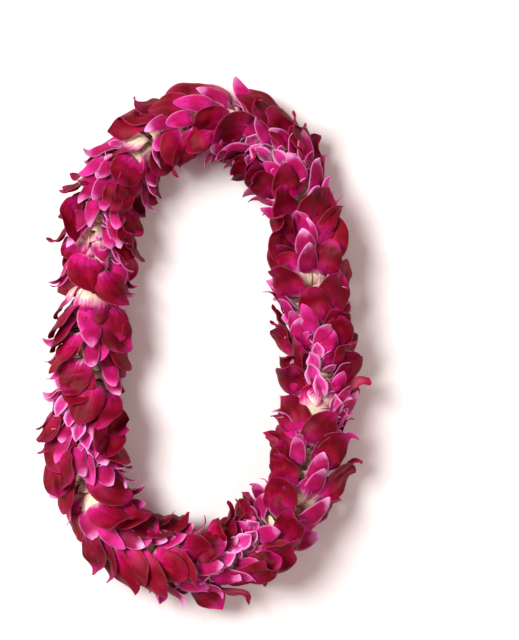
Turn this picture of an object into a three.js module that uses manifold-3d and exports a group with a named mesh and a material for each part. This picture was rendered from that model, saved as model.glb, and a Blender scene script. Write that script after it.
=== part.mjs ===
// A fresh orchid flower lei: ninety blossoms threaded face to back on one cotton string, which is
// knotted into a loop. It lies flat, as if laid on a table. Millimetres, +Z up, the table at z = 0.
//
// The strand is described in its own coordinates: `along` is the distance along the string, `out`
// points away from the loop's middle and `up` points away from the table. Every blossom is drawn
// there as if the string were straight, and strandPoint() bends it round the loop.

import * as THREE from 'three';
import { mergeVertices } from 'three/addons/utils/BufferGeometryUtils.js';
import Module from 'manifold-3d';

// ---- Driving dimensions -------------------------------------------------------------------

// The loop's route, seen from above: circles of these sizes, each turning `turns` times while the
// string goes round once, added up. The first two make a tall oval, and the rest square it off and
// cut its upper left corner.
const ROUTE_CIRCLES = [
  { turns: 1, x: -3, y: 141 },
  { turns: -1, x: 2, y: 34 },
  { turns: 3, x: -1, y: 11 },
  { turns: -2, x: 1, y: 2 },
  { turns: -3, x: 0, y: -1 },
];
const ROUTE_SAMPLES = 720; // short straights that the route is measured by

const STRING_RADIUS = 0.7;
const STRING_SIDES = 8;
const STRING_STEPS = 90;
const STRING_HEIGHT = 30; // of the string above the table

const BLOSSOM_COUNT = 90;
const BLOSSOMS_PER_NODE = 2; // two neighbours, whose necks are pressed into each other
const HELIX_TURNS = 5; // turns that the blossoms make about the string on their way round
const HELIX_START = THREE.MathUtils.degToRad(35); // of the first dorsal sepal from straight up
const NECK_RADIUS = 4;
const BORE_RADIUS = 1.4; // the needle's hole through the neck
const NECK_SIDES = 6;
const SHEET = 2.3; // thickness of the tepals, measured along the string
const TOUCH_GAP = 0.3; // left between neighbours that press on each other

// The cup that the tepals make: at the radius CUP_RADIUS they have swept CUP_DEPTH along the string.
const CUP_RADIUS = 36;
const CUP_DEPTH = 24;
const CUP_CURVE = 3; // high, so that the tepals stand straight out first and then lie along the strand
const CUP_KNEE = 0.78; // fraction of the reach where the facets fold

// The blossom's outline as [degrees from the dorsal sepal, reach from the string].
const NOTCH = 19; // between two tepals
const HALF_OUTLINE = [
  [24, NOTCH],
  [45, 33],
  [68, 36.5],
  [91, 33],
  [114, NOTCH],
  [137, 36],
];
const DORSAL_REACH = 36;
const LIP_REACH = 18;
const REACH_VARIATION = 0.03; // share by which one blossom is larger or smaller than the next

// The petals below this level bend where they lie on the table.
const BEND_START = 22; // below the string
const BEND_RATE = 0.53;

const KNOT_SPACE = 6; // bare string between the last blossom and the first
const KNOT_RADIUS = 1.9;
const TAIL_LENGTH = 9;
const LOOP_END = 0.5; // from the knot's centre to each end of the loop, inside the knot
const TAIL_SPREAD = THREE.MathUtils.degToRad(25); // of each cut end from straight up

const PETAL_COLOUR = 0xa3123f;
const STRING_COLOUR = 0xeee6d2;

// ---- The loop -----------------------------------------------------------------------------

function routePoint(angle) {
  let x = 0;
  let y = 0;
  for (const circle of ROUTE_CIRCLES) {
    const cos = Math.cos(circle.turns * angle);
    const sin = Math.sin(circle.turns * angle);
    x += circle.x * cos - circle.y * sin;
    y += circle.x * sin + circle.y * cos;
  }
  return new THREE.Vector2(x, y);
}

/** The route as points and the distance along the string at each of them. */
function measureRoute() {
  const points = [];
  const distances = [0];
  for (let i = 0; i <= ROUTE_SAMPLES; i += 1) {
    points.push(routePoint((2 * Math.PI * i) / ROUTE_SAMPLES));
    if (i > 0) distances.push(distances[i - 1] + points[i].distanceTo(points[i - 1]));
  }
  return { points, distances, length: distances[ROUTE_SAMPLES] };
}

const route = measureRoute();

/** The angle of the route at a distance along the string, by interpolation. */
function angleAt(along) {
  const wrapped = THREE.MathUtils.euclideanModulo(along, route.length);
  let low = 0;
  let high = ROUTE_SAMPLES;
  while (high - low > 1) {
    const middle = (low + high) >> 1;
    if (route.distances[middle] > wrapped) high = middle;
    else low = middle;
  }
  const share = (wrapped - route.distances[low]) / (route.distances[high] - route.distances[low]);
  return (2 * Math.PI * (low + share)) / ROUTE_SAMPLES;
}

/** How far above the table a point lies that is `up` above the string. */
function heightAboveTable(up) {
  const bent = Math.max(0, -up - BEND_START);
  return STRING_HEIGHT + up + bent * (1 - BEND_RATE);
}

/** Bends a point of the straight strand round the loop. */
function strandPoint(along, out, up) {
  const angle = angleAt(along);
  const step = Math.PI / ROUTE_SAMPLES;
  const here = routePoint(angle);
  const ahead = routePoint(angle + step).sub(routePoint(angle - step)).normalize();
  return new THREE.Vector3(here.x + ahead.y * out, here.y - ahead.x * out, heightAboveTable(up));
}

/** The same for a point given by its distance from the string and its angle from straight up. */
function strandPolar(along, radius, angle) {
  return strandPoint(along, radius * Math.sin(angle), radius * Math.cos(angle));
}

// ---- Blossoms -----------------------------------------------------------------------------

/** The outline all the way round, from the dorsal sepal over the lip and back. */
function blossomOutline() {
  const otherHalf = HALF_OUTLINE.map(([degrees, reach]) => [360 - degrees, reach]).reverse();
  return [[0, DORSAL_REACH], ...HALF_OUTLINE, [180, LIP_REACH], ...otherHalf];
}

const OUTLINE = blossomOutline();

/** How far a tepal has swept along the string at a distance from it. */
function cupSweep(radius) {
  return CUP_DEPTH * (radius / CUP_RADIUS) ** CUP_CURVE;
}

/** A number from -1 to 1 that differs from one blossom to the next but never changes. */
function variation(index) {
  return 2 * ((index * 0.618034) % 1) - 1;
}

/** The rings of one blossom's cup, from outside to inside, with one point per outline point. */
function cupRings(index, start, turn) {
  const size = 1 + REACH_VARIATION * variation(index);
  const ring = (share, lift) => OUTLINE.map(([degrees, reach]) => {
    const radius = NECK_RADIUS + (reach * size - NECK_RADIUS) * share;
    const angle = turn + THREE.MathUtils.degToRad(degrees);
    return strandPolar(start + cupSweep(radius) + lift, radius, angle);
  });
  return [
    { points: ring(CUP_KNEE, 0), inward: false },
    { points: ring(1, SHEET / 2), inward: true },
    { points: ring(CUP_KNEE, SHEET), inward: true },
  ];
}

/** A ring of the neck or the bore, with each point repeated so that it pairs with the outline. */
function neckRing(along, radius, turn) {
  const points = OUTLINE.map((_, column) => {
    const side = Math.floor((column * NECK_SIDES) / OUTLINE.length);
    return strandPolar(along, radius, turn + (2 * Math.PI * side) / NECK_SIDES);
  });
  return { points, inward: false };
}

/**
 * A closed skin through rings of equal length, the last ring joined to the first. Where the radius
 * falls from one ring to the next, the four-sided faces are split the other way, so that the inside
 * of a cup has the same facets as its outside and never cuts through it.
 */
function skinRings(rings) {
  const columns = rings[0].points.length;
  const positions = rings.flatMap((ring) => ring.points.flatMap((point) => point.toArray()));
  const faces = [];
  rings.forEach((ring, row) => {
    const next = (row + 1) % rings.length;
    for (let column = 0; column < columns; column += 1) {
      const side = (column + 1) % columns;
      const a = row * columns + column;
      const b = row * columns + side;
      const c = next * columns + side;
      const d = next * columns + column;
      if (ring.inward) faces.push(a, b, d, b, c, d);
      else faces.push(a, b, c, a, c, d);
    }
  });
  return closedGeometry(positions, faces);
}

/** Merges equal points and leaves out the triangles that this makes empty. */
function closedGeometry(positions, faces) {
  const geometry = new THREE.BufferGeometry();
  geometry.setAttribute('position', new THREE.Float32BufferAttribute(positions, 3));
  geometry.setIndex(faces);
  const merged = mergeVertices(geometry, 1e-3);
  const index = merged.getIndex().array;
  const kept = [];
  for (let i = 0; i < index.length; i += 3) {
    const [a, b, c] = index.slice(i, i + 3);
    if (a !== b && b !== c && c !== a) kept.push(a, b, c);
  }
  merged.setIndex(kept);
  return merged;
}

/** The angle of a blossom's dorsal sepal from straight up. */
function blossomTurn(index) {
  return HELIX_START - (2 * Math.PI * HELIX_TURNS * index) / BLOSSOM_COUNT;
}

/** Two neighbouring blossoms, joined at the neck: one closed skin with the bore through it. */
function blossomPair(firstIndex, pitch) {
  const start = KNOT_SPACE / 2 + firstIndex * pitch;
  const end = start + BLOSSOMS_PER_NODE * pitch - TOUCH_GAP;
  const rings = [];
  for (let i = 0; i < BLOSSOMS_PER_NODE; i += 1) {
    const index = firstIndex + i;
    const turn = blossomTurn(index);
    const base = start + i * pitch;
    rings.push(neckRing(base, NECK_RADIUS, turn));
    rings.push(...cupRings(index, base, turn));
    rings.push(neckRing(base + SHEET, NECK_RADIUS, turn));
  }
  const lastTurn = blossomTurn(firstIndex + BLOSSOMS_PER_NODE - 1);
  rings.push(neckRing(end, NECK_RADIUS, lastTurn));
  rings.push(neckRing(end, BORE_RADIUS, lastTurn));
  rings.push(neckRing(start + pitch, BORE_RADIUS, lastTurn));
  rings.push(neckRing(start, BORE_RADIUS, lastTurn));
  return skinRings(rings);
}

// ---- String -------------------------------------------------------------------------------

/** The string's centre line between two distances along it. */
class StringCurve extends THREE.Curve {
  constructor(from, to) {
    super();
    this.from = from;
    this.to = to;
  }

  getPoint(share) {
    return strandPoint(THREE.MathUtils.lerp(this.from, this.to, share), 0, 0);
  }
}

function stringSection() {
  const corners = [];
  for (let side = 0; side < STRING_SIDES; side += 1) {
    const angle = (2 * Math.PI * side) / STRING_SIDES;
    corners.push(new THREE.Vector2(STRING_RADIUS * Math.cos(angle), STRING_RADIUS * Math.sin(angle)));
  }
  return new THREE.Shape(corners);
}

function tubeAlong(curve, steps) {
  return new THREE.ExtrudeGeometry(stringSection(), { steps, extrudePath: curve });
}

/** One cut end of the string, which stands up beside the knot. */
function stringTail(lean) {
  const knot = strandPoint(0, 0, 0);
  const tip = strandPoint(0, TAIL_LENGTH * Math.sin(lean), TAIL_LENGTH * Math.cos(lean));
  return tubeAlong(new THREE.LineCurve3(knot, tip), 1);
}

/** The knot pulled tight, a round lump where the string's ends meet. */
function knotLump() {
  return new THREE.IcosahedronGeometry(KNOT_RADIUS, 1).translate(...strandPoint(0, 0, 0).toArray());
}

// ---- Joining ------------------------------------------------------------------------------

const manifold = await Module();
manifold.setup();

function toSolid(geometry) {
  const bare = geometry.clone();
  ['normal', 'uv'].forEach((name) => bare.deleteAttribute(name));
  const merged = mergeVertices(bare, 1e-4);
  return new manifold.Manifold(new manifold.Mesh({
    numProp: 3,
    vertProperties: new Float32Array(merged.getAttribute('position').array),
    triVerts: new Uint32Array(merged.getIndex().array),
  }));
}

function joined(geometries) {
  const solid = geometries.map(toSolid).reduce((all, next) => all.add(next));
  const mesh = solid.getMesh();
  const geometry = new THREE.BufferGeometry();
  geometry.setAttribute('position', new THREE.BufferAttribute(mesh.vertProperties, 3));
  geometry.setIndex(new THREE.BufferAttribute(mesh.triVerts, 1));
  return geometry;
}

/** The whole string: once round the loop, the knot that closes it and its two cut ends. */
function stringGeometry() {
  const loop = tubeAlong(new StringCurve(LOOP_END, route.length - LOOP_END), STRING_STEPS);
  return joined([loop, knotLump(), stringTail(TAIL_SPREAD), stringTail(-TAIL_SPREAD)]);
}

// ---- Assembly -----------------------------------------------------------------------------

const petalMaterial = new THREE.MeshStandardMaterial({ color: PETAL_COLOUR, roughness: 0.6, metalness: 0 });
const stringMaterial = new THREE.MeshStandardMaterial({ color: STRING_COLOUR, roughness: 0.9, metalness: 0 });

function addMesh(group, name, geometry, material) {
  const mesh = new THREE.Mesh(geometry, material);
  mesh.name = name;
  geometry.computeVertexNormals();
  group.add(mesh);
}

function buildLei() {
  const lei = new THREE.Group();
  const pitch = (route.length - KNOT_SPACE) / BLOSSOM_COUNT;
  for (let first = 0; first < BLOSSOM_COUNT; first += BLOSSOMS_PER_NODE) {
    const number = String(1 + first / BLOSSOMS_PER_NODE).padStart(2, '0');
    addMesh(lei, `blossom_pair_${number}`, blossomPair(first, pitch), petalMaterial);
  }
  addMesh(lei, 'string', stringGeometry(), stringMaterial);
  return lei;
}

/** Sets the lei down on the table, with the middle of its outline over the origin. */
function setDown(lei) {
  const box = new THREE.Box3().setFromObject(lei);
  const middle = box.getCenter(new THREE.Vector3());
  lei.position.set(-middle.x, -middle.y, -box.min.z);
  return lei;
}

export default setDown(buildLei());
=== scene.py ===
"""A fresh orchid lei lying on a pale table, seen from above.

The strand is described in its own coordinates, in millimetres: `along` is the distance along the
string, `out` points away from the loop's middle and `up` away from the table. Each blossom is drawn
there as if the string were straight, and Strand.place() bends it round the loop, in metres.
"""
import bisect
import math
import random

import bmesh
import bpy
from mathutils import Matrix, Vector


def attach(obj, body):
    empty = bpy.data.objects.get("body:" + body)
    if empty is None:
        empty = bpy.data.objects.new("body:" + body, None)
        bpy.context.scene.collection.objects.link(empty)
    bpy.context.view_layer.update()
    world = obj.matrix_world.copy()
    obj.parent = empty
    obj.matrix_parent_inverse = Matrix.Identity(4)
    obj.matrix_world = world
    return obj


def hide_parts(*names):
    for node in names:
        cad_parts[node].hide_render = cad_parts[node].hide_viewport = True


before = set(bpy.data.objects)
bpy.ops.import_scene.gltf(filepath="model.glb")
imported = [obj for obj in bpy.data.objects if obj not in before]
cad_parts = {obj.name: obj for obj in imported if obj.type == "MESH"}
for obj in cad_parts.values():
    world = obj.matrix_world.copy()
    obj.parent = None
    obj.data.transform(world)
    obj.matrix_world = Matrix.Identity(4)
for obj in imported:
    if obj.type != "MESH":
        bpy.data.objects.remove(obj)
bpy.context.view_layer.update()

MM = 0.001
FULL_TURN = 2 * math.pi

# ---- The loop, as the CAD model has it -------------------------------------------------------

# circles (turns, x, y) that the route adds up, as the string goes round once
ROUTE_CIRCLES = [(1, -3, 141), (-1, 2, 34), (3, -1, 11), (-2, 1, 2), (-3, 0, -1)]
ROUTE_SAMPLES = 1440
BLOSSOM_COUNT = 90
BLOSSOMS_PER_NODE = 2
KNOT_SPACE = 6.0
HELIX_TURNS = 5
HELIX_START = math.radians(35)
HELIX_REST = 0.34  # how much the helix rests where a blossom's dorsal sepal or lip is up
STRING_RADIUS = 0.7
BEND_START = 22.0  # petals further than this below the string bend on the table
BEND_RATE = 0.53  # and come down by this much for each further millimetre
TABLE_CLEARANCE = 0.25
# where the strand bulges: distance along the string, millimetres outwards, spread
BULGES = [(345, 6.0, 60), (425, 3.0, 45), (655, 4.0, 50), (180, -1.5, 40), (775, -2.5, 40)]

# ---- The photograph's frame ------------------------------------------------------------------

PHOTO_WIDTH = 519
PHOTO_HEIGHT = 640
LOOP_CENTRE_PX = (201.5, 343.5)  # the pixel over the route's own zero
MM_PER_PX = 0.85
CAMERA_HEIGHT = 1.6
SENSOR = 36.0


class Strand:
    """The string's route and the bend from strand coordinates to the model's frame."""

    def __init__(self, string_node):
        step = FULL_TURN / ROUTE_SAMPLES
        self.points = [self.route(step * i) for i in range(ROUTE_SAMPLES + 1)]
        self.distances = [0.0]
        for before, after in zip(self.points, self.points[1:]):
            self.distances.append(self.distances[-1] + (after - before).length)
        self.length = self.distances[-1]
        self.normals = []
        for i in range(ROUTE_SAMPLES + 1):
            ahead = self.route(step * (i + 0.5)) - self.route(step * (i - 0.5))
            self.normals.append(Vector((ahead.y, -ahead.x)).normalized())
        self.origin = self.find_origin(string_node)

    @staticmethod
    def route(angle):
        x = sum(cx * math.cos(k * angle) - cy * math.sin(k * angle) for k, cx, cy in ROUTE_CIRCLES)
        y = sum(cx * math.sin(k * angle) + cy * math.cos(k * angle) for k, cx, cy in ROUTE_CIRCLES)
        return Vector((x, y))

    def find_origin(self, string_node):
        """Where the route's zero lies in the frame, read off the half of the CAD string that has no knot."""
        plain = [v.co / MM for v in string_node.data.vertices if v.co.y < 0]
        left = min(v.x for v in plain) - (min(p.x for p in self.points) - STRING_RADIUS)
        low = min(v.y for v in plain) - (min(p.y for p in self.points) - STRING_RADIUS)
        height = (min(v.z for v in plain) + max(v.z for v in plain)) / 2
        return Vector((left, low, height))

    def sample(self, along):
        """The point and the outward normal of the route at a distance along the string."""
        wrapped = along % self.length
        low = min(bisect.bisect_right(self.distances, wrapped), ROUTE_SAMPLES) - 1
        share = (wrapped - self.distances[low]) / (self.distances[low + 1] - self.distances[low])
        return (self.points[low].lerp(self.points[low + 1], share),
                self.normals[low].lerp(self.normals[low + 1], share))

    def place(self, along, out, up):
        """The point of the frame, in metres, for a point in strand coordinates."""
        here, normal = self.sample(along)
        out += sum(bulge * math.exp(-((along - middle) / spread) ** 2) for middle, bulge, spread in BULGES)
        bent = max(0.0, -up - BEND_START)
        height = max(TABLE_CLEARANCE, self.origin.z + up + bent * (1 - BEND_RATE))
        return Vector((
            self.origin.x + here.x + normal.x * out,
            self.origin.y + here.y + normal.y * out,
            height,
        )) * MM


STRAND = Strand(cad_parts["string"])
PITCH = (STRAND.length - KNOT_SPACE) / BLOSSOM_COUNT


def blossom_start(index):
    return KNOT_SPACE / 2 + index * PITCH


def blossom_turn(index):
    """The angle of a blossom's dorsal sepal from straight up."""
    even = HELIX_START - FULL_TURN * HELIX_TURNS * index / BLOSSOM_COUNT
    return even - HELIX_REST * math.sin(2 * even)


# ---- Shapes of the tepals --------------------------------------------------------------------

# How much tepals of one kind differ: `lengths` and `widths` are shares, `ruffles` and `creases` millimetres,
# and `turns_over` lets some of them show their backs.
BROAD = dict(lengths=(0.92, 1.05), widths=(0.92, 1.06), ruffles=(0.3, 1.4), creases=(0.08, 0.34),
             turns_over=True)
NARROW = dict(lengths=(0.84, 1.05), widths=(0.82, 1.12), ruffles=(0.1, 0.5), creases=(0.04, 0.17),
              turns_over=False)

# Millimetres and degrees. `width` is half the greatest width and `base` half the width at the neck.
# `widest` is the share of the length where it is widest: `rise` shapes the outline below there, `blunt`
# and `tip` above it. `point` is how far the tip is drawn out. `knee` holds the shares of the length between
# which the tepal turns from standing out to lying along the strand, and `lying` is how far it turns.
# `setback` is where it starts, along the string. `cup`, `fan` and `waves` are ranges to draw from: how far
# the sides bend back, how far a tepal at one side of the blossom swings to that side, and how high its
# waves are.
SEPAL = dict(NARROW, length=45.0, width=8.4, base=4.6, widest=0.60, rise=1.1, blunt=1.8, tip=0.64, point=0.5,
             knee=(0.16, 0.66), lying=73.0, setback=1.4, cup=(0.05, 0.28), fan=(-10, 16),
             waves=(0.12, 0.36), groove=0.3, rows=18, columns=8)
SHAPES = {
    "petal": dict(BROAD, length=50.0, width=14.3, base=4.8, widest=0.62, rise=0.9, blunt=2.2, tip=0.58,
                  point=0.7, knee=(0.14, 0.60), lying=74.0, setback=0.0, cup=(-0.08, 0.10), fan=(4, 36),
                  waves=(0.36, 0.90), groove=0.6, rows=26, columns=16),
    "sepal": SEPAL,
    "lateral": dict(SEPAL, length=38.0, width=7.8, fan=(-14, 14)),
    "lip": dict(NARROW, length=38.5, width=7.4, base=3.0, widest=0.74, rise=1.6, blunt=1.4, tip=0.86,
                point=1.5, knee=(0.20, 0.66), lying=70.0, setback=-1.6, cup=(-0.1, 0.1), fan=(-8, 8),
                waves=(0.12, 0.30), groove=0.6, rows=18, columns=10),
    "lip_side": dict(NARROW, length=24.0, width=4.6, base=2.0, widest=0.62, rise=1.2, blunt=2.0, tip=0.7,
                     point=0.0, knee=(0.2, 0.8), lying=40.0, setback=-1.6, cup=(-0.3, 0.1), fan=(-8, 8),
                     waves=(0.06, 0.18), groove=0.0, rows=8, columns=4),
}
LAST_WIDTH = 0.997  # the outline ends this share of the way to its tip, so that the last row has a width
NECK_RADIUS = 4.0  # where a tepal leaves the neck
ARC_STEPS = 60
ROW_CROWDING = 1.25  # over 1, the rows lie closer together towards the tip
SHEET_THICKNESS = 0.5
EDGE_THICKNESS = 0.2

# ranges that every tepal's bends are drawn from: shares, degrees and millimetres
POINT_RANGE = (0.2, 1.6)
LYING_RANGE = (-13, 9)
CURL_RANGE = (-62, 20)  # how far the tip bends in towards the strand
TWIST_RANGE = (-34, 34)
SWING_RANGE = (-9, 9)
WRAP_RANGE = (0.35, 0.95)  # how far the sides follow the strand's roundness
FOLD_RANGE = (-0.15, 0.10)
OWN_SEEDS = 1e6  # tepals have this many seeds, per radian of their phase, for their creases and hooks
WAVES_OF_EACH_SIZE = 3
SWELL_WAVELENGTHS = (13, 26)
CREASE_WAVELENGTHS = (8, 13)
TURNED_SHARE = 0.22  # the share of petals that turn over far enough to show their backs
TURNED_TWIST = (50, 72)
TURNED_CURL = (20, 50)

# the form of a tepal along its length, in shares of it, and across
LOOSE_START = 0.25  # where waves and groove begin
LOOSE_RAMP = 0.4
CURL_START = 0.68
POINT_START = 0.8
POINT_WIDTH = 2.2
GROOVE_WIDTH = 1.5
RUFFLE_PACE = 7.5  # radians over the whole length
RUFFLE_LAG = 1.3  # between the ruffles of the two edges
LEAST_WRAP_RADIUS = 14.0  # the sides bend round no smaller radius than this

# how the tepals lie in the strand
SIDE_SPLAY = 0.08  # the share by which tepals at the strand's sides lie down less
SPLAY_SHORTENING = 0.35  # the part of that share by which they are shorter
TABLE_PRESS = math.radians(26)  # how far the table pushes the tepals under the strand out to its sides
TURN_UP = math.radians(34)  # how far the tepals at the strand's sides turn their faces up
TURN_UP_END = 0.6  # the share of the length where they have turned
TURN_UP_FADE = 0.9  # under the strand this fades, until the cosine of the tepal's angle is minus this
UNDER_WIDENING = 0.9  # sepals under the strand are broader by this share, to fill the gaps at the table
UNDER_START = math.radians(80)  # the angle from straight up where that begins
UNDER_RAMP = math.radians(30)
SHARP_POINT = 1.6  # how much longer the points of hooked and standing tepals are
HOOKED_SHARE = 0.58  # the share of tepals that hook outwards where they lie at the strand's sides
HOOKED_SIDE = 0.74  # the sine of the angle from which they lie at the sides
HOOK_CURL = math.radians(-85)
HOOK_FACING_UP = 0.15  # the share of TURN_UP by which they still turn
HOOK_WIDTH = 0.85

# places where the pale throats show between the petals: distance along the string, degrees from straight up
THROATS = [(57, 5), (143, 10), (192, 9), (358, 11), (567, 14), (644, -6), (750, -2), (803, -80), (907, 35)]
THROAT_BEHIND = 2.0  # blossoms that start from this far past a throat
THROAT_NEAR = 12.0  # to this far before it open towards it,
THROAT_FAR = 31.0  # and those from there to here part their tepals round it
THROAT_SPREAD = math.radians(15)
THROAT_REACH = 36.0  # a tepal widens that spread by its half width, seen from this far
THROAT_PUSH = 0.6  # the share of the overlap by which a tepal moves aside at its neck
THROAT_SWING = 1.2  # and towards its tip
THROAT_OPENING = 1.8  # how many times that spread the open blossoms' pale tepals reach
THROAT_KNEE = (0.04, 0.42)
THROAT_LENGTH = 0.86
THROAT_PALE = 0.27  # the share of the length by which the cream reaches further up there
CREAM_REACHED = 0.18  # the share of a tepal's length where its base is fully cream

# places where the lips lie on top: distance along the string, spread
LIPS_SHOWN = [(305, 48), (412, 20), (520, 22), (690, 24), (880, 16)]
LIP_MIDDLE = 26.0  # how far ahead of its blossom's start a lip shows
LENGTH_WHERE_HIDDEN = {"lip": 0.62, "lateral": 1.16}  # share of the length where the sepals hide the lips

# places where a tepal stands out of the strand: distance along the string, degrees from straight up
STRAYS = [(20, 92), (62, 95), (108, 92), (150, -92), (152, 90), (205, 95), (236, 90), (258, -85),
          (277, 95), (318, 95), (324, -100), (352, 92), (379, -80), (390, -95), (412, 96), (444, 90),
          (472, 95), (498, -95), (520, 88), (543, 95), (560, -95), (580, 92), (602, 95), (610, -90),
          (634, 95), (668, 90), (695, -92), (712, 95), (746, 88), (760, -95), (774, 95), (812, 90),
          (850, 95), (884, 92), (918, 95)]
STRAY_KINDS = ("petal", "sepal", "lateral")
STRAY_MIDDLE = 18.0  # how far ahead of its blossom's start a tepal counts as lying
STRAY_REACH = 6.0
STRAY_SPREAD = math.radians(20)
STRAY_LYING = 0.60
STRAY_LENGTH = 0.92
STRAY_WIDTH = 0.86
STRAY_CURL = math.radians(-20)
STRAY_TWISTS = (-42, 42)


def smoothstep(x):
    x = min(1.0, max(0.0, x))
    return x * x * (3 - 2 * x)


def ring_angles(sides):
    return [FULL_TURN * j / sides for j in range(sides)]


def strand_vector(along, radius, angle):
    """Strand coordinates of a point at an angle from straight up and a distance from the string."""
    return Vector((along, radius * math.sin(angle), radius * math.cos(angle)))


class MeshParts:
    """Vertices, faces and per-vertex marks of one object, gathered part by part."""

    def __init__(self):
        self.vertices = []
        self.faces = []
        self.slots = []
        self.marks = []  # (across -1..1, along 0..1, tone 0..1) for the materials

    def add_vertex(self, point, mark):
        self.vertices.append(point)
        self.marks.append(mark)
        return len(self.vertices) - 1

    def add_face(self, corners, slot):
        self.faces.append(corners)
        self.slots.append(slot)

    def add_sheet(self, grid, marks, face_slot, back_slot):
        """A thin closed sheet through a grid of points, thinner at its rim."""
        rows, columns = len(grid), len(grid[0])
        face = [[0] * columns for _ in range(rows)]
        back = [[0] * columns for _ in range(rows)]
        for i in range(rows):
            for j in range(columns):
                down = grid[min(i + 1, rows - 1)][j] - grid[max(i - 1, 0)][j]
                side = grid[i][min(j + 1, columns - 1)] - grid[i][max(j - 1, 0)]
                normal = down.cross(side).normalized()
                at_rim = j in (0, columns - 1) or i == rows - 1
                half = (EDGE_THICKNESS if at_rim else SHEET_THICKNESS) / 2
                face[i][j] = self.add_vertex(grid[i][j] + normal * half, marks[i][j])
                back[i][j] = self.add_vertex(grid[i][j] - normal * half, marks[i][j])
        for i in range(rows - 1):
            for j in range(columns - 1):
                self.add_face((face[i][j], face[i][j + 1], face[i + 1][j + 1], face[i + 1][j]), face_slot)
                self.add_face((back[i][j], back[i + 1][j], back[i + 1][j + 1], back[i][j + 1]), back_slot)
        outline = [(i, 0) for i in range(rows - 1)] + [(rows - 1, j) for j in range(columns - 1)]
        outline += [(i, columns - 1) for i in range(rows - 1, 0, -1)]
        outline += [(0, j) for j in range(columns - 1, 0, -1)]
        for (i, j), (k, m) in zip(outline, outline[1:] + outline[:1]):
            self.add_face((face[i][j], face[k][m], back[k][m], back[i][j]), face_slot)

    def add_tube(self, rings, marks, slot):
        """A closed tube through rings of points, capped at both ends."""
        sides = len(rings[0])
        ids = [[self.add_vertex(p, mark) for p in ring] for ring, mark in zip(rings, marks)]
        for a, b in zip(ids, ids[1:]):
            for j in range(sides):
                k = (j + 1) % sides
                self.add_face((a[j], a[k], b[k], b[j]), slot)
        self.add_face(tuple(reversed(ids[0])), slot)
        self.add_face(tuple(ids[-1]), slot)

    def build(self, name, materials):
        """The object, with its points placed in the frame and its faces turned outwards."""
        mesh = bpy.data.meshes.new(name)
        mesh.from_pydata([STRAND.place(*v) for v in self.vertices], [], self.faces)
        for material in materials:
            mesh.materials.append(material)
        mesh.polygons.foreach_set("material_index", self.slots)
        mesh.polygons.foreach_set("use_smooth", [True] * len(self.faces))
        layer = mesh.attributes.new("petal_mark", "FLOAT_VECTOR", "POINT")
        layer.data.foreach_set("vector", [value for mark in self.marks for value in mark])
        shell = bmesh.new()
        shell.from_mesh(mesh)
        bmesh.ops.recalc_face_normals(shell, faces=shell.faces)
        shell.to_mesh(mesh)
        shell.free()
        piece = bpy.data.objects.new(name, mesh)
        bpy.context.collection.objects.link(piece)
        return piece


# ---- One tepal -------------------------------------------------------------------------------


def make_waves(rng, wavelengths, heights):
    """Waves over a tepal in random directions, as (pace across, pace along, phase, height)."""
    waves = []
    for _ in range(WAVES_OF_EACH_SIZE):
        heading = rng.uniform(0, math.pi)
        pace = FULL_TURN / rng.uniform(*wavelengths)
        height = rng.uniform(*heights)
        phase = rng.uniform(0, FULL_TURN)
        waves.append((pace * math.cos(heading), pace * math.sin(heading), phase, height))
    return waves


class TepalPose:
    """The random bends of one tepal, and what its place in the strand does to them."""

    def __init__(self, shape, rng, fan_side):
        self.length = shape["length"] * rng.uniform(*shape["lengths"])
        self.width = rng.uniform(*shape["widths"])
        self.knee = shape["knee"]
        self.point = shape["point"] * rng.uniform(*POINT_RANGE)
        self.lying = math.radians(shape["lying"] + rng.uniform(*LYING_RANGE))
        self.curl = math.radians(rng.uniform(*CURL_RANGE))
        self.twist = math.radians(rng.uniform(*TWIST_RANGE))
        self.sideways = math.radians(fan_side * rng.uniform(*shape["fan"]) + rng.uniform(*SWING_RANGE))
        self.cup = rng.uniform(*shape["cup"])
        self.wrap = rng.uniform(*WRAP_RANGE)
        self.fold = rng.uniform(*FOLD_RANGE)
        self.ruffle = rng.uniform(*shape["ruffles"])
        self.phase = rng.uniform(0, FULL_TURN)
        self.tone = rng.random()
        self.pale = 0.0
        self.facing_up = 1.0
        if shape["turns_over"] and rng.random() < TURNED_SHARE:
            self.twist = math.radians(rng.choice((-1, 1)) * rng.uniform(*TURNED_TWIST))
            self.curl = math.radians(rng.uniform(*TURNED_CURL))
        own_rng = random.Random(int(self.phase * OWN_SEEDS))
        self.waves = make_waves(rng, SWELL_WAVELENGTHS, shape["waves"])
        self.waves += make_waves(own_rng, CREASE_WAVELENGTHS, shape["creases"])
        self.hooked = own_rng.random() < HOOKED_SHARE

    def sharpen(self, width_share):
        self.width *= width_share
        self.point += SHARP_POINT

    def stand_out(self, rng):
        """Lifts the tepal out of the strand."""
        self.sharpen(STRAY_WIDTH)
        self.lying *= STRAY_LYING
        self.length *= STRAY_LENGTH
        self.curl = STRAY_CURL
        self.twist = math.radians(rng.choice(STRAY_TWISTS))

    def hook(self):
        """Bends the tip outwards and keeps the tepal edge-on from above, so that it shows as a thin hook."""
        self.sharpen(HOOK_WIDTH)
        self.curl = HOOK_CURL
        self.facing_up = HOOK_FACING_UP

    def swell(self, offset, distance):
        """How far the waves lift the surface there."""
        return sum(h * math.sin(a * offset + b * distance + c) for a, b, c, h in self.waves)


def outline_width(shape, t):
    """Half the width of a tepal at a share t of its length."""
    if t < shape["widest"]:
        rise = math.sin(math.pi / 2 * t / shape["widest"]) ** (2 * shape["rise"])
        return shape["base"] + (shape["width"] - shape["base"]) * rise
    x = min((t - shape["widest"]) / (1 - shape["widest"]), LAST_WIDTH)
    return shape["width"] * (1 - x ** shape["blunt"]) ** shape["tip"]


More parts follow.
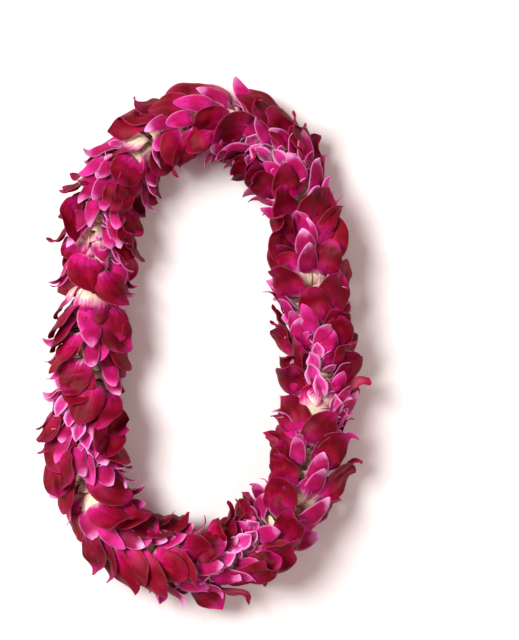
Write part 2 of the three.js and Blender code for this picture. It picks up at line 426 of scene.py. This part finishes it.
def midline(knee, length, lying, curl):
    """Points (along, radius) and directions of a tepal's middle line at equal steps from neck to tip."""
    low, high = knee
    along, radius = 0.0, NECK_RADIUS
    line = []
    for i in range(ARC_STEPS + 1):
        t = i / ARC_STEPS
        curled = max(0.0, (t - CURL_START) / (1 - CURL_START)) ** 2
        angle = lying * smoothstep((t - low) / (high - low)) + curl * curled
        direction = (math.sin(angle), math.cos(angle))
        line.append((along, radius, *direction))
        along += direction[0] * length / ARC_STEPS
        radius += direction[1] * length / ARC_STEPS
    return line


def on_midline(line, t):
    place = t * ARC_STEPS
    low = min(int(place), ARC_STEPS - 1)
    share = place - low
    return [a + (b - a) * share for a, b in zip(line[low], line[low + 1])]


def row_frames(line, shares, start, angle, pose):
    """For each row across a tepal: its middle, the ways ahead, sideways and off its face, and its radius."""
    under_fade = smoothstep((math.cos(angle) + TURN_UP_FADE) / TURN_UP_FADE)
    turn_up = TURN_UP * pose.facing_up * math.sin(angle) * under_fade
    centres, faces, radii = [], [], []
    for t in shares:
        along, radius, forward, outwards = on_midline(line, t)
        turn = angle + pose.sideways * t * t
        centres.append(strand_vector(start + along, radius, turn))
        faces.append(strand_vector(0, 1, turn) * forward - Vector((outwards, 0, 0)))
        radii.append(max(radius, LEAST_WRAP_RADIUS))
    frames = []
    for i, t in enumerate(shares):
        ahead = (centres[min(i + 1, len(shares) - 1)] - centres[max(i - 1, 0)]).normalized()
        across = faces[i].cross(ahead).normalized()
        face = ahead.cross(across)
        lean = pose.twist * t + turn_up * smoothstep(t / TURN_UP_END)
        sideways = across * math.cos(lean) + face * math.sin(lean)
        normal = face * math.cos(lean) - across * math.sin(lean)
        frames.append((centres[i], ahead, sideways, normal, radii[i]))
    return frames


def section(shape, pose, t, radius, spots):
    """One row across a tepal, as (offset sideways, lift off its face, reach ahead) from its middle."""
    half = outline_width(shape, t) * pose.width
    loose = smoothstep((t - LOOSE_START) / LOOSE_RAMP)
    pointed = pose.point * smoothstep((t - POINT_START) / (1 - POINT_START))
    row = []
    for q in spots:
        offset = half * q
        lift = pose.fold * abs(offset) * t - pose.cup * half * q * q - pose.wrap * offset ** 2 / (2 * radius)
        lift += pose.ruffle * abs(q) ** 3 * math.sin(RUFFLE_PACE * t + pose.phase + RUFFLE_LAG * (q > 0)) * t
        lift += loose * pose.swell(offset, t * pose.length)
        lift -= loose * shape["groove"] * math.exp(-(offset / GROOVE_WIDTH) ** 2)
        row.append((offset, lift, pointed * math.exp(-(offset / POINT_WIDTH) ** 2)))
    return row


def tepal_grid(shape, start, angle, pose):
    """The middle surface of one tepal, in strand coordinates, with marks for the materials."""
    splay = SIDE_SPLAY * math.sin(angle) ** 2
    length = pose.length * (1 - SPLAY_SHORTENING * splay)
    line = midline(pose.knee, length, pose.lying * (1 - splay), pose.curl)
    shares = [1 - (1 - i / shape["rows"]) ** ROW_CROWDING for i in range(shape["rows"] + 1)]
    spots = [2 * j / shape["columns"] - 1 for j in range(shape["columns"] + 1)]
    frames = row_frames(line, shares, start + shape["setback"], angle, pose)
    grid, marks = [], []
    for t, (centre, ahead, sideways, normal, radius) in zip(shares, frames):
        row = section(shape, pose, t, radius, spots)
        grid.append([centre + sideways * offset + normal * lift + ahead * reach
                     for offset, lift, reach in row])
        level = max(min(t, CREAM_REACHED), t - pose.pale)
        marks.append([(q, level, pose.tone) for q in spots])
    return grid, marks


def folded(grid, fold):
    """A grid whose sides are lifted to make a keel along its middle line."""
    lifted = []
    for row in grid:
        middle = row[len(row) // 2]
        away = Vector((0, middle.y, middle.z)).normalized()
        sides = [point - middle for point in row]
        lifted.append([middle + side * math.cos(fold) + away * side.length * math.sin(fold)
                       for side in sides])
    return lifted


# ---- Where the tepals lie --------------------------------------------------------------------


def turned(angle):
    """An angle brought to between -pi and pi."""
    return (angle + math.pi) % FULL_TURN - math.pi


def pressed(angle):
    """The angle a tepal ends up at once the table has pushed the lower ones aside."""
    angle = turned(angle)
    return angle - TABLE_PRESS * math.sin(angle) * (1 - math.cos(angle)) / 2


def lip_shown(start):
    """How much of a blossom's lip shows, 0 to 1. Away from the places in LIPS_SHOWN the sepals hide it."""
    return max(math.exp(-((start + LIP_MIDDLE - along) / spread) ** 2) for along, spread in LIPS_SHOWN)


def is_stray(start, angle):
    """Whether a tepal lies at one of the places in STRAYS."""
    for along, degrees in STRAYS:
        off_line = turned(angle - math.radians(degrees))
        if abs(start + STRAY_MIDDLE - along) < STRAY_REACH and abs(off_line) < STRAY_SPREAD:
            return True
    return False


def part_from_throats(shape, start, angle, pose):
    """The angle of a tepal, off the throats it would cover. Round a throat it opens wide and is pale."""
    clear = THROAT_SPREAD + math.asin(shape["width"] / THROAT_REACH)
    for along, degrees in THROATS:
        off_line = turned(angle - math.radians(degrees))
        ahead = along - start
        if THROAT_NEAR < ahead < THROAT_FAR and abs(off_line) < clear:
            push = clear - abs(off_line)
            angle += math.copysign(push * THROAT_PUSH, off_line)
            pose.sideways = math.copysign(push * THROAT_SWING, off_line)
        if -THROAT_BEHIND < ahead <= THROAT_NEAR and abs(off_line) < THROAT_OPENING * clear:
            pose.pale = THROAT_PALE
            pose.knee = THROAT_KNEE
            pose.length *= THROAT_LENGTH
    return angle


def add_tepal(parts, kind, start, angle, rng, slots, fan_side=0, fold=0.0):
    """One tepal, at an angle from straight up."""
    shape = SHAPES[kind]
    angle = pressed(angle)
    pose = TepalPose(shape, rng, fan_side)
    if kind in LENGTH_WHERE_HIDDEN:
        hidden = LENGTH_WHERE_HIDDEN[kind]
        pose.length *= hidden + (1 - hidden) * lip_shown(start)
    if kind in ("lateral", "sepal"):
        pose.width *= 1 + UNDER_WIDENING * smoothstep((abs(turned(angle)) - UNDER_START) / UNDER_RAMP)
    if kind in STRAY_KINDS and is_stray(start, angle):
        pose.stand_out(rng)
    else:
        angle = part_from_throats(shape, start, angle, pose)
    if pose.hooked and abs(math.sin(angle)) > HOOKED_SIDE:
        pose.hook()
    grid, marks = tepal_grid(shape, start, angle, pose)
    if fold:
        grid = folded(grid, fold)
    parts.add_sheet(grid, marks, *slots)


# ---- One blossom -----------------------------------------------------------------------------

FACE_PETAL, BACK_PETAL, FACE_SEPAL, BACK_SEPAL, LIP, NECK = range(6)  # the order of FINISHES below
FIRST_SEED = 4100
START_RANGE = (-2.8, 2.8)
# degrees: ranges about each tepal's place, and about the blossom's own turn
TURN_RANGE = (-17, 17)
PETAL_RANGE = (-18, 16)
LATERAL_RANGE = (-12, 12)
SEPAL_RANGE = (-14, 14)
LIP_RANGE = (-8, 8)
LIP_FOLDS = (15, 40)
PETAL_ANGLES = (47, 100)  # where the dorsal sepal is up, and where the lip is
LATERAL_ANGLES = (129, 158)  # where the lip shows between them, and where they hide it
LIP_SIDE_ANGLE = 158

MIDDLE_TONE = 0.5
# outlines of the cup, the neck and the column as (along, radius) from the blossom's start
BELL = [(0.6, 3.4), (1.4, 6.4), (3.0, 9.2), (5.6, 11.8), (8.8, 14.0)]
NECK_PROFILE = [(-0.2, 2.6), (0.6, 4.2), (2.5, 4.9), (5.0, 4.0), (PITCH - 1.2, 3.0), (PITCH - 0.3, 2.4)]
COLUMN_PROFILE = [(-8.4, 0.9), (-7.2, 2.0), (-4.5, 2.3), (-1.5, 2.4), (0.5, 0.8)]
BELL_SIDES = 30
BELL_THICKNESS = 0.35
BELL_WAVES = 5
BELL_WAVE_HEIGHT = 2.2
BELL_LOBES = 3
BELL_LOBE_DEPTH = 0.08
BELL_OPENING = 0.25  # the share by which it is wider at a throat
BELL_MIDDLE = 4.0  # how far ahead of its blossom's start the cup counts as lying
NECK_SIDES = 10
COLUMN_OFFSET = 6.4
COLUMN_MARK = (0, 0.1, MIDDLE_TONE)


def add_bell(parts, start, rng):
    """The pale cup that the tepals' bases form round the neck, as a thin closed shell with a wavy rim."""
    open_wide = max(math.exp(-((start + BELL_MIDDLE - along) / THROAT_NEAR) ** 2) for along, _ in THROATS)
    profile = [(a, r * (1 + BELL_OPENING * open_wide)) for a, r in BELL]
    shell = profile + [(a + BELL_THICKNESS, r - BELL_THICKNESS) for a, r in reversed(profile)]
    phase = rng.uniform(0, FULL_TURN)
    rings, marks = [], []
    for a, r in shell:
        share = (r - BELL[0][1]) / BELL[-1][1]
        ring = []
        for angle in ring_angles(BELL_SIDES):
            wave = BELL_WAVE_HEIGHT * share ** 2 * math.sin(BELL_WAVES * angle + phase)
            lobe = 1 + BELL_LOBE_DEPTH * share * math.sin(BELL_LOBES * angle + 2 * phase)
            ring.append(strand_vector(start + a + wave, r * lobe, angle))
        rings.append(ring)
        marks.append((0, share, MIDDLE_TONE))
    parts.add_tube(rings, marks, NECK)


def add_neck(parts, start, turn):
    """The ovary and chin that the string goes through, with the column on the blossom's face."""
    angles = ring_angles(NECK_SIDES)
    rings = [[strand_vector(start + a, r, angle) for angle in angles] for a, r in NECK_PROFILE]
    parts.add_tube(rings, [(0, a / PITCH, MIDDLE_TONE) for a, _ in NECK_PROFILE], NECK)
    middle = strand_vector(start, COLUMN_OFFSET, turn + math.pi)
    rings = [[middle + Vector((a, r * math.cos(angle), r * math.sin(angle))) for angle in angles]
             for a, r in COLUMN_PROFILE]
    parts.add_tube(rings, [COLUMN_MARK] * len(rings), NECK)


def make_blossom(index, materials):
    """One blossom. Another order of its random draws would change its look."""
    rng = random.Random(FIRST_SEED + index)
    start = blossom_start(index) + rng.uniform(*START_RANGE)
    turn = blossom_turn(index) + math.radians(rng.uniform(*TURN_RANGE))
    parts = MeshParts()
    lip_up = (1 - math.cos(turn)) / 2
    spread = PETAL_ANGLES[0] + (PETAL_ANGLES[1] - PETAL_ANGLES[0]) * lip_up
    hiding = LATERAL_ANGLES[1] + (LATERAL_ANGLES[0] - LATERAL_ANGLES[1]) * lip_shown(start)
    for side in (-1, 1):
        petal = turn + side * math.radians(spread + rng.uniform(*PETAL_RANGE))
        add_tepal(parts, "petal", start, petal, rng, (FACE_PETAL, BACK_PETAL), side)
        lateral = turn + side * math.radians(hiding + rng.uniform(*LATERAL_RANGE))
        add_tepal(parts, "lateral", start, lateral, rng, (FACE_SEPAL, BACK_SEPAL), side)
        flap = turn + side * math.radians(LIP_SIDE_ANGLE)
        add_tepal(parts, "lip_side", start, flap, rng, (LIP, LIP))
    dorsal = turn + math.radians(rng.uniform(*SEPAL_RANGE))
    add_tepal(parts, "sepal", start, dorsal, rng, (FACE_SEPAL, BACK_SEPAL))
    lip = turn + math.pi + math.radians(rng.uniform(*LIP_RANGE))
    fold = math.radians(rng.uniform(*LIP_FOLDS))
    add_tepal(parts, "lip", start, lip, rng, (LIP, LIP), fold=fold)
    add_bell(parts, start, rng)
    add_neck(parts, start, turn)
    piece = parts.build(f"blossom_{index + 1:02d}", materials)
    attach(piece, "root")
    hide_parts(f"blossom_pair_{index // BLOSSOMS_PER_NODE + 1:02d}")


# ---- Materials -------------------------------------------------------------------------------


class Nodes:
    """A short way to write a material's node tree."""

    def __init__(self, name):
        self.material = bpy.data.materials.new(name)
        self.material.use_nodes = True
        self.tree = self.material.node_tree
        self.shader = self.tree.nodes["Principled BSDF"]

    def feed(self, socket, value):
        """Links a socket to a node's output, or sets its constant."""
        if isinstance(value, bpy.types.NodeSocket):
            self.tree.links.new(value, socket)
        else:
            socket.default_value = value

    def feed_shader(self, inputs):
        for key, value in inputs.items():
            self.feed(self.shader.inputs[key], value)

    def node(self, kind, inputs=None, **settings):
        made = self.tree.nodes.new(kind)
        for key, value in settings.items():
            setattr(made, key, value)
        for key, value in (inputs or {}).items():
            self.feed(made.inputs[key], value)
        return made

    def maths(self, operation, a, b=0.0, c=0.0):
        return self.node("ShaderNodeMath", {0: a, 1: b, 2: c}, operation=operation).outputs[0]

    def product(self, first, *others):
        for value in others:
            first = self.maths("MULTIPLY", first, value)
        return first

    def scatter(self, base, noise, amount):
        """A value moved up and down by a noise about that noise's mean."""
        return self.maths("MULTIPLY_ADD", self.maths("SUBTRACT", noise, 0.5), amount, base)

    def mix(self, factor, a, b, blend="MIX"):
        sockets = {0: factor, 6: a, 7: b}  # those of a colour mix
        return self.node("ShaderNodeMix", sockets, data_type="RGBA", blend_type=blend).outputs[2]

    def tint(self, colour, factor, tint):
        return self.mix(factor, colour, (*tint, 1))

    def ramp(self, factor, stops):
        made = self.node("ShaderNodeValToRGB", {"Fac": factor})
        ramp = made.color_ramp
        ramp.interpolation = "EASE"
        while len(ramp.elements) < len(stops):
            ramp.elements.new(0.5)
        for element, (position, colour) in zip(ramp.elements, stops):
            element.position = position
            element.color = (*colour, 1)
        return made.outputs[0]

    def smooth(self, value, low, high):
        ends = {0: value, 1: low, 2: high}
        return self.node("ShaderNodeMapRange", ends, interpolation_type="SMOOTHSTEP").outputs[0]

    def position(self):
        return self.node("ShaderNodeTexCoord").outputs["Object"]

    def noise(self, scale, detail, vector):
        inputs = {"Scale": scale, "Detail": detail, "Vector": vector}
        return self.node("ShaderNodeTexNoise", inputs).outputs[0]

    def bump(self, height, strength, distance):
        inputs = {"Height": height, "Strength": strength, "Distance": distance}
        return self.node("ShaderNodeBump", inputs).outputs[0]


def linear(value):
    """A screen's brightness, 0 to 1, as the renderer counts it: the sRGB standard's formula."""
    return value / 12.92 if value < 0.04045 else ((value + 0.055) / 1.055) ** 2.4


def srgb(red, green, blue):
    """A colour given as on a screen, 0 to 255, in the renderer's linear values."""
    return tuple(linear(value / 255) for value in (red, green, blue))


CREAM = srgb(252, 240, 206)
OLIVE = srgb(204, 194, 118)
PALE_PINK = srgb(238, 148, 186)
HOT_PINK = srgb(228, 34, 142)
ORCHID = srgb(224, 38, 152)
FUCHSIA = srgb(188, 20, 98)
PLUM = srgb(134, 6, 52)
MAGENTA = srgb(170, 8, 66)
CRIMSON = srgb(128, 4, 28)
WINE = srgb(88, 2, 20)
WHITE_PINK = srgb(248, 172, 230)
DUSTY = srgb(190, 80, 108)
COTTON_STOPS = [(0.3, srgb(206, 196, 168)), (0.7, srgb(244, 238, 222))]

# The skins: colour `stops` from base to tip, and (colour, amount) for the rim, the tip, the veins and the
# tone, which is drawn for each tepal and darkens it. `rim_start` is the share of the half width.
FINISHES = {
    "petal_face": dict(
        stops=[(0.04, OLIVE), (0.18, CREAM), (0.30, PALE_PINK), (0.42, HOT_PINK), (0.60, MAGENTA),
               (0.78, CRIMSON)],
        rim_start=0.93, rim=(PALE_PINK, 0.14), tip=(HOT_PINK, 0.35),
        vein=(WINE, 0.62), tone=(WINE, 0.75), roughness=0.5, sheen=0.04),
    "petal_back": dict(
        stops=[(0.0, CREAM), (0.2, CREAM), (0.45, DUSTY), (0.7, DUSTY), (1.0, MAGENTA)],
        rim_start=0.90, rim=(PALE_PINK, 0.4), tip=(MAGENTA, 0.2),
        vein=(CRIMSON, 0.3), tone=(CRIMSON, 0.5), roughness=0.6, sheen=0.04),
    "sepal_face": dict(
        stops=[(0.04, OLIVE), (0.2, CREAM), (0.34, PALE_PINK), (0.46, ORCHID), (0.70, FUCHSIA),
               (0.92, ORCHID)],
        rim_start=0.80, rim=(WHITE_PINK, 0.45), tip=(WHITE_PINK, 0.8),
        vein=(PLUM, 0.6), tone=(PLUM, 0.75), roughness=0.5, sheen=0.04),
    "sepal_back": dict(
        stops=[(0.0, CREAM), (0.3, CREAM), (0.5, DUSTY), (0.8, PLUM), (1.0, ORCHID)],
        rim_start=0.90, rim=(WHITE_PINK, 0.4), tip=(WHITE_PINK, 0.5),
        vein=(CRIMSON, 0.25), tone=(CRIMSON, 0.5), roughness=0.6, sheen=0.04),
    "lip_skin": dict(
        stops=[(0.0, CREAM), (0.40, CREAM), (0.52, WHITE_PINK), (0.68, ORCHID), (0.94, ORCHID),
               (1.0, PALE_PINK)],
        rim_start=0.50, rim=(WHITE_PINK, 0.9), tip=(WHITE_PINK, 0.4),
        vein=(WHITE_PINK, 0.55), tone=(PLUM, 0.6), roughness=0.5, sheen=0.04),
    "neck_skin": dict(
        stops=[(0.0, OLIVE), (0.15, CREAM), (0.65, CREAM), (1.0, PALE_PINK)],
        rim_start=0.9, rim=(CREAM, 0.5), tip=(CREAM, 0.2),
        vein=(OLIVE, 0.2), tone=(PALE_PINK, 0.5), roughness=0.45, sheen=0.02),
}

# the noises' (scale, detail), with the scale per metre
MOTTLE = (420.0, 4.0)
PATCHES = (90.0, 2.0)
CLOUDS = (60.0, 1.0)
STREAKS = (1.0, 2.0)
FLUFF = (3000.0, 4.0)
STREAK_STRETCH = (9.0, 1.2, 20.0)  # across the tepal, along it, and from one tone to the next
STREAK_DEPTH = 0.24
PATCH_DRIFT = 0.28  # how far the colours move towards base or tip, as a share of the length
BOW = 0.10  # how much further down the colours reach at the edges
VEIN_PACE = 8.0  # veins in each half of the width
VEIN_WANDER = 0.35
VEIN_START = 0.72  # higher makes the veins thinner
VEIN_FADE = (0.75, 1.15)  # the shares of the length over which the veins fade
VEIN_ON_CREAM = 0.3  # how strong they are on the cream base
VEIN_DEPTH = -0.6
COLOURED = (0.22, 0.48)  # from the cream base, which no tone darkens, to full colour
CLOUD_RANGE = (0.38, 0.62)
CLOUD_SHADES = (0.80, 0.30)  # the darkest shade, and how much lighter the lightest is
MOTTLE_SHADE = 0.5
RIM_WANDER = 0.10
TIP_RANGE = (0.80, 1.04)
TIP_STRENGTH = 1.6
ROUGHNESS_SPREAD = 0.18
SHEEN_TINT = (1.0, 0.06, 0.30, 1)
SHEEN_ROUGHNESS = 0.45
PETAL_SPECULAR = 0.10
PETAL_BUMP = (0.25, 0.0004)  # strength, and distance in metres
COTTON_BUMP = (0.5, 0.0002)
COTTON_ROUGHNESS = 0.9


def vein_lines(n, across, mottle):
    """Thin wandering lines from base to tip: 1 on a vein and 0 between them."""
    fan = n.scatter(n.product(across, VEIN_PACE), mottle, VEIN_WANDER)
    arches = n.maths("ABSOLUTE", n.maths("SINE", n.product(fan, math.pi)))
    return n.smooth(n.maths("SUBTRACT", 1.0, arches), VEIN_START, 1.0)


def streak_noise(n, marks):
    """A noise that is drawn out along the tepal, and is another on each tepal."""
    stretched = {i: n.product(mark, stretch) for i, (mark, stretch) in enumerate(zip(marks, STREAK_STRETCH))}
    return n.noise(*STREAKS, n.node("ShaderNodeCombineXYZ", stretched).outputs[0])


def shaded(n, colour, position, mottle):
    """A colour with soft clouds and fine mottling."""
    darkest, lighter = CLOUD_SHADES
    clouds = n.smooth(n.noise(*CLOUDS, position), *CLOUD_RANGE)
    shade = n.scatter(n.maths("MULTIPLY_ADD", clouds, lighter, darkest), mottle, MOTTLE_SHADE)
    grey = n.node("ShaderNodeCombineColor", {0: shade, 1: shade, 2: shade}).outputs[0]
    return n.mix(1.0, colour, grey, "MULTIPLY")


def tepal_material(name, finish):
    """A petal's skin: colour from base to tip, pale rim, veins that fan out, and a soft velvet sheen."""
    n = Nodes(name)
    mark = n.node("ShaderNodeAttribute", attribute_name="petal_mark").outputs["Vector"]
    marks = n.node("ShaderNodeSeparateXYZ", {0: mark}).outputs
    across, along, tone = marks
    position = n.position()
    mottle = n.noise(*MOTTLE, position)
    side = n.maths("ABSOLUTE", across)
    drift = n.scatter(along, n.noise(*PATCHES, position), PATCH_DRIFT)
    level = n.maths("MULTIPLY_ADD", n.product(side, side), BOW, drift)
    level = n.scatter(level, streak_noise(n, marks), STREAK_DEPTH)
    coloured = n.smooth(level, *COLOURED)
    veins = vein_lines(n, across, mottle)
    on_cream = n.maths("MULTIPLY_ADD", coloured, 1 - VEIN_ON_CREAM, VEIN_ON_CREAM)
    fading = n.maths("SUBTRACT", on_cream, n.smooth(along, *VEIN_FADE))
    at_rim = n.smooth(n.scatter(side, mottle, RIM_WANDER), finish["rim_start"], 1.0)
    at_tip = n.smooth(drift, *TIP_RANGE)

    tone_colour, tone_amount = finish["tone"]
    vein_colour, vein_amount = finish["vein"]
    rim_colour, rim_amount = finish["rim"]
    tip_colour, tip_amount = finish["tip"]
    colour = n.ramp(level, finish["stops"])
    colour = n.tint(colour, n.product(tone, tone_amount, coloured), tone_colour)
    colour = shaded(n, colour, position, mottle)
    colour = n.tint(colour, n.product(veins, fading, vein_amount), vein_colour)
    colour = n.tint(colour, n.product(at_rim, rim_amount), rim_colour)
    colour = n.tint(colour, n.product(at_tip, tone, TIP_STRENGTH * tip_amount), tip_colour)

    n.feed_shader({
        "Base Color": colour,
        "Roughness": n.scatter(finish["roughness"], mottle, ROUGHNESS_SPREAD),
        "Sheen Weight": finish["sheen"],
        "Sheen Roughness": SHEEN_ROUGHNESS,
        "Sheen Tint": SHEEN_TINT,
        "Specular IOR Level": PETAL_SPECULAR,
        "Normal": n.bump(n.maths("MULTIPLY_ADD", veins, VEIN_DEPTH, mottle), *PETAL_BUMP),
    })
    return n.material


def cotton_material():
    n = Nodes("cotton_thread")
    fluff = n.noise(*FLUFF, n.position())
    n.feed_shader({
        "Base Color": n.ramp(fluff, COTTON_STOPS),
        "Roughness": COTTON_ROUGHNESS,
        "Normal": n.bump(fluff, *COTTON_BUMP),
    })
    return n.material


# ---- String ----------------------------------------------------------------------------------

ALONG = Vector((1, 0, 0))
OUT = Vector((0, 1, 0))
UP = Vector((0, 0, 1))
PLIES = 2
PLY_RADIUS = 0.38
PLY_SIDES = 6
PLY_OFFSET = 0.9  # how far a ply lies from the thread's middle, in ply radii
PLY_TWIST = 4.0  # millimetres of string for one turn of the plies
STEPS_PER_TWIST = 8
LOOP_END = 0.4  # from the knot's middle to each end of the loop's thread
TAIL_LENGTH = 9.0
TAIL_SPREAD = math.radians(25)
KNOT_RADIUS = 1.3
KNOT_SWING = 0.55
KNOT_HALF_WIDTH = 0.8
KNOT_STEPS = 48
COTTON_MARK = (0, 0.5, MIDDLE_TONE)  # the cotton's material doesn't read it


def ply_ring(centre, across, lift):
    return [centre + across * (PLY_RADIUS * math.cos(angle)) + lift * (PLY_RADIUS * math.sin(angle))
            for angle in ring_angles(PLY_SIDES)]


def add_thread(parts, start, direction, across, lift, length):
    """Plies twisted round a straight line, as closed tubes."""
    steps = int(length / PLY_TWIST * STEPS_PER_TWIST)
    for ply in range(PLIES):
        rings = []
        for i in range(steps + 1):
            distance = length * i / steps
            phase = FULL_TURN * (distance / PLY_TWIST + ply / PLIES)
            aside = (across * math.cos(phase) + lift * math.sin(phase)) * PLY_RADIUS * PLY_OFFSET
            rings.append(ply_ring(start + direction * distance + aside, across, lift))
        parts.add_tube(rings, [COTTON_MARK] * len(rings), 0)


def knot_point(share):
    """A trefoil round the string, pulled tight."""
    angle = FULL_TURN * share
    aside = KNOT_HALF_WIDTH * math.sin(3 * angle)
    radius = KNOT_RADIUS + KNOT_SWING * math.cos(3 * angle)
    return Vector((aside, radius * math.cos(2 * angle), radius * math.sin(2 * angle)))


def add_knot(parts):
    rings = []
    for i in range(KNOT_STEPS):
        here = knot_point(i / KNOT_STEPS)
        ahead = (knot_point((i + 0.5) / KNOT_STEPS) - knot_point((i - 0.5) / KNOT_STEPS)).normalized()
        across = ahead.cross(here).normalized()
        rings.append(ply_ring(here, across, ahead.cross(across)))
    parts.add_tube(rings, [COTTON_MARK] * len(rings), 0)


def make_string(material):
    parts = MeshParts()
    add_thread(parts, ALONG * LOOP_END, ALONG, OUT, UP, STRAND.length - 2 * LOOP_END)
    for lean in (TAIL_SPREAD, -TAIL_SPREAD):
        direction = OUT * math.sin(lean) + UP * math.cos(lean)
        side = OUT * math.cos(lean) - UP * math.sin(lean)
        add_thread(parts, Vector((0, 0, 0)), direction, ALONG, side, TAIL_LENGTH)
    add_knot(parts)
    piece = parts.build("cotton_string", [material])
    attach(piece, "root")
    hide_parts("string")


# ---- Stage -----------------------------------------------------------------------------------

FLOOR_SIZE = 6
FLOOR_COLOUR = (0.93, 0.915, 0.905, 1)
FLOOR_ROUGHNESS = 0.9
FLOOR_SPECULAR = 0.1
WORLD_COLOUR = (1.0, 0.76, 0.73, 1)
WORLD_STRENGTH = 0.38
KEY_LIGHT = dict(location=(-1.40, 0.72, 2.40), size=1.4, power=101, colour=(1.0, 0.995, 0.985))
FILL_LIGHT = dict(location=(1.50, -0.50, 1.60), size=1.6, power=9, colour=(1.0, 0.84, 0.82))


def make_floor():
    bpy.ops.mesh.primitive_plane_add(size=FLOOR_SIZE, location=(0, 0, 0))
    floor = bpy.context.object
    floor.name = "floor"
    n = Nodes("floor_paper")
    n.feed_shader({
        "Base Color": FLOOR_COLOUR,
        "Roughness": FLOOR_ROUGHNESS,
        "Specular IOR Level": FLOOR_SPECULAR,
    })
    floor.data.materials.append(n.material)


def add_area_light(name, location, size, power, colour):
    """A round light that points at the middle of the table."""
    light = bpy.data.lights.new(name, "AREA")
    light.shape = "DISK"
    light.size = size
    light.energy = power
    light.color = colour
    lamp = bpy.data.objects.new(name, light)
    lamp.location = location
    lamp.rotation_euler = (-lamp.location).to_track_quat("-Z", "Y").to_euler()
    bpy.context.collection.objects.link(lamp)


def make_light():
    world = bpy.data.worlds.new("studio")
    world.use_nodes = True
    background = world.node_tree.nodes["Background"]
    background.inputs["Color"].default_value = WORLD_COLOUR
    background.inputs["Strength"].default_value = WORLD_STRENGTH
    bpy.context.scene.world = world
    add_area_light("key", **KEY_LIGHT)
    add_area_light("fill", **FILL_LIGHT)
    bpy.context.scene.view_settings.view_transform = "Standard"
    bpy.context.scene.view_settings.look = "None"


def make_camera():
    """Looks straight down, as a camera does unturned, with the loop where the photograph has it."""
    data = bpy.data.cameras.new("camera")
    data.sensor_width = SENSOR
    data.sensor_fit = "AUTO"
    data.lens = SENSOR * (CAMERA_HEIGHT / MM - STRAND.origin.z) / (PHOTO_HEIGHT * MM_PER_PX)
    camera = bpy.data.objects.new("camera", data)
    right = (PHOTO_WIDTH / 2 - LOOP_CENTRE_PX[0]) * MM_PER_PX
    forward = (LOOP_CENTRE_PX[1] - PHOTO_HEIGHT / 2) * MM_PER_PX
    camera.location = (
        (STRAND.origin.x + right) * MM,
        (STRAND.origin.y + forward) * MM,
        CAMERA_HEIGHT,
    )
    bpy.context.collection.objects.link(camera)
    bpy.context.scene.camera = camera


def main():
    make_camera()
    make_floor()
    make_light()
    skins = [tepal_material(name, finish) for name, finish in FINISHES.items()]
    for index in range(BLOSSOM_COUNT):
        make_blossom(index, skins)
    make_string(cotton_material())


main()
